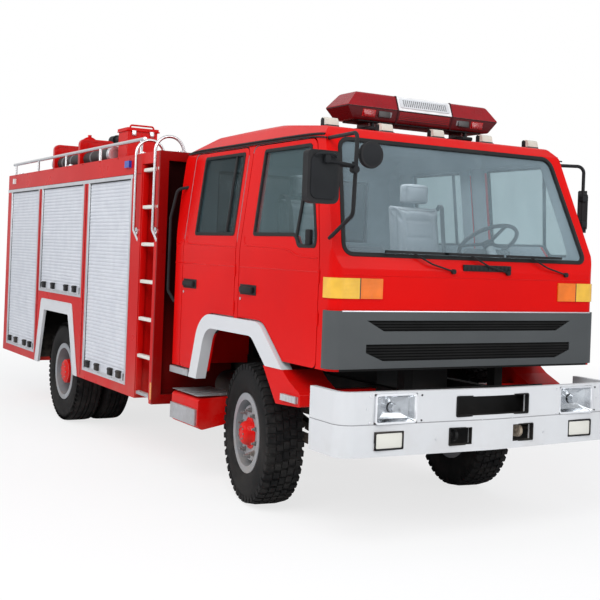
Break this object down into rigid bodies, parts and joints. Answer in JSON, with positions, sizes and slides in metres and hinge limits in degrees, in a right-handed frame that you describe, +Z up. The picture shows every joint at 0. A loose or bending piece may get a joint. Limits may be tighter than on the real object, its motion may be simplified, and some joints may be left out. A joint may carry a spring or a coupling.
{
  "type": "fire engine",
  "caption": "Two-axle fire engine with a four-door forward-control cab, a box body with roller shutters, roof rails, stowage box, suction hoses and a roof monitor.",
  "frame": {"origin": "on the ground under the middle of the vehicle, at half its overall length and on its centre plane", "axes": "+Z up, the nose faces -Y, +X is the vehicle's left side"},
  "size_m": [2.9502, 7.7707, 3.248],
  "materials": {
    "paint_red": "gloss",
    "paint_white": "gloss",
    "paint_grey": "gloss",
    "chassis_black": "satin",
    "engine_iron": "matte",
    "dark_steel": "worn",
    "aluminium": "satin",
    "tyre": "matte",
    "rim_silver": "satin",
    "glass": "clear",
    "lamp_amber": "clear",
    "lamp_clear": "clear",
    "lamp_red": "clear",
    "black_plastic": "matte",
    "seat_grey": "woven",
    "shutter_silver": "satin",
    "stainless": "polished",
    "hose_rubber": "matte"
  },
  "bodies": {
    "vehicle": {"chassis_frame": "chassis_black", "front_axle": "chassis_black", "rear_axle": "chassis_black", "engine_block": "engine_iron", "drive_shaft": "chassis_black", "exhaust": "dark_steel", "fuel_tank": "aluminium", "cab_shell": "paint_red", "cab_glass": "glass", "front_panel": "paint_grey", "corner_lamps": "lamp_amber", "wheel_arch_trims": "paint_white", "cab_steps": "paint_red", "step_treads": "aluminium", "bumper": "paint_white", "front_lamps": "lamp_clear", "tow_eyes": "dark_steel", "seat_frames": "black_plastic", "seat_cushions": "seat_grey", "dashboard": "black_plastic", "light_bar": "lamp_red", "roof_marker_lamps": "lamp_clear", "mirror_right": "black_plastic", "wipers": "black_plastic", "grab_rails": "black_plastic", "body_shell": "paint_red", "body_floor": "chassis_black", "roller_shutters": "shutter_silver", "body_trim": "aluminium", "side_ladders": "paint_white", "roof_rails": "stainless", "roof_box": "paint_red", "suction_hoses": "hose_rubber", "hose_brackets": "paint_red", "monitor_base": "paint_red", "body_lamps": "lamp_clear"},
    "knuckle_right": {"knuckle_right": "chassis_black"},
    "knuckle_left": {"knuckle_left": "chassis_black"},
    "track_rod": {"track_rod": "chassis_black"},
    "wheel_front_right": {"front_tyre_right": "tyre", "front_rim_right": "rim_silver"},
    "wheel_front_left": {"front_tyre_left": "tyre", "front_rim_left": "rim_silver"},
    "wheels_rear_right": {"rear_tyres_right": "tyre", "rear_rims_right": "rim_silver"},
    "wheels_rear_left": {"rear_tyres_left": "tyre", "rear_rims_left": "rim_silver"},
    "steering_wheel": {"steering_wheel": "black_plastic"},
    "door_front_right": {"door_front_right": "paint_red", "glass_front_right": "glass"},
    "door_front_left": {"door_front_left": "paint_red", "glass_front_left": "glass", "mirror_left": "black_plastic"},
    "door_rear_right": {"door_rear_right": "paint_red", "glass_rear_right": "glass"},
    "door_rear_left": {"door_rear_left": "paint_red", "glass_rear_left": "glass"},
    "roof_box_lid": {"roof_box_lid": "paint_red"},
    "monitor_elbow": {"monitor_elbow": "paint_red"},
    "monitor_barrel": {"monitor_barrel": "black_plastic"}
  },
  "joints": [
    {"name": "steer_right", "type": "hinge", "parent": "vehicle", "child": "knuckle_right", "pos_m": [-0.8, -2.415, 0.514], "axis": [0, 0, 1], "range_deg": [-26.4, 43.6]},
    {"name": "steer_left", "type": "hinge", "parent": "vehicle", "child": "knuckle_left", "pos_m": [0.8, -2.415, 0.514], "axis": [0, 0, 1], "range_deg": [-26.4, 43.6]},
    {"name": "track_rod_ball", "type": "hinge", "parent": "knuckle_right", "child": "track_rod", "pos_m": [-0.77458, -2.24691, 0.433], "axis": [0, 0, 1], "range_deg": [-43.6, 26.4]},
    {"name": "steering_wheel_turn", "type": "hinge", "parent": "vehicle", "child": "steering_wheel", "pos_m": [0.52, -3.145, 1.975], "axis": [0, 0.5736, 0.8192], "range_deg": [-475.2, 784.8]},
    {"name": "roll_front_right", "type": "hinge", "parent": "knuckle_right", "child": "wheel_front_right", "pos_m": [-0.92755, -2.39571, 0.514], "axis": [0.9888, -0.1495, 0], "continuous": true},
    {"name": "roll_rear_right", "type": "hinge", "parent": "vehicle", "child": "wheels_rear_right", "pos_m": [-1.06, 1.535, 0.514], "axis": [1, 0, 0], "continuous": true},
    {"name": "roll_front_left", "type": "hinge", "parent": "knuckle_left", "child": "wheel_front_left", "pos_m": [0.92755, -2.43429, 0.514], "axis": [0.9888, -0.1495, 0], "continuous": true},
    {"name": "roll_rear_left", "type": "hinge", "parent": "vehicle", "child": "wheels_rear_left", "pos_m": [1.06, 1.535, 0.514], "axis": [1, 0, 0], "continuous": true},
    {"name": "open_door_front_right", "type": "hinge", "parent": "vehicle", "child": "door_front_right", "pos_m": [-1.13, -3.454, 1.4], "axis": [0, 0, 1], "range_deg": [0, 70]},
    {"name": "open_door_rear_right", "type": "hinge", "parent": "vehicle", "child": "door_rear_right", "pos_m": [-1.13, -2.259, 1.4], "axis": [0, 0, 1], "range_deg": [0, 70]},
    {"name": "open_door_front_left", "type": "hinge", "parent": "vehicle", "child": "door_front_left", "pos_m": [1.13, -3.454, 1.4], "axis": [0, 0, -1], "range_deg": [0, 70]},
    {"name": "open_door_rear_left", "type": "hinge", "parent": "vehicle", "child": "door_rear_left", "pos_m": [1.13, -2.259, 1.4], "axis": [0, 0, -1], "range_deg": [0, 70]},
    {"name": "open_roof_box_lid", "type": "hinge", "parent": "vehicle", "child": "roof_box_lid", "pos_m": [-0.578, 0.8, 3.0113], "axis": [0, 1, 0], "range_deg": [0, 95]},
    {"name": "swivel_monitor", "type": "hinge", "parent": "vehicle", "child": "monitor_elbow", "pos_m": [0, 3.035, 2.9018], "axis": [0, 0, 1], "range_deg": [-180, 180]},
    {"name": "raise_monitor", "type": "hinge", "parent": "monitor_elbow", "child": "monitor_barrel", "pos_m": [0, 3.035, 3.19], "axis": [1, 0, 0], "range_deg": [-10, 75]}
  ],
  "couplings": [
    {"joint": "steer_left", "follows": "steer_right", "ratio": 1},
    {"joint": "track_rod_ball", "follows": "steer_right", "ratio": -1},
    {"joint": "steering_wheel_turn", "follows": "steer_right", "ratio": 18}
  ]
}
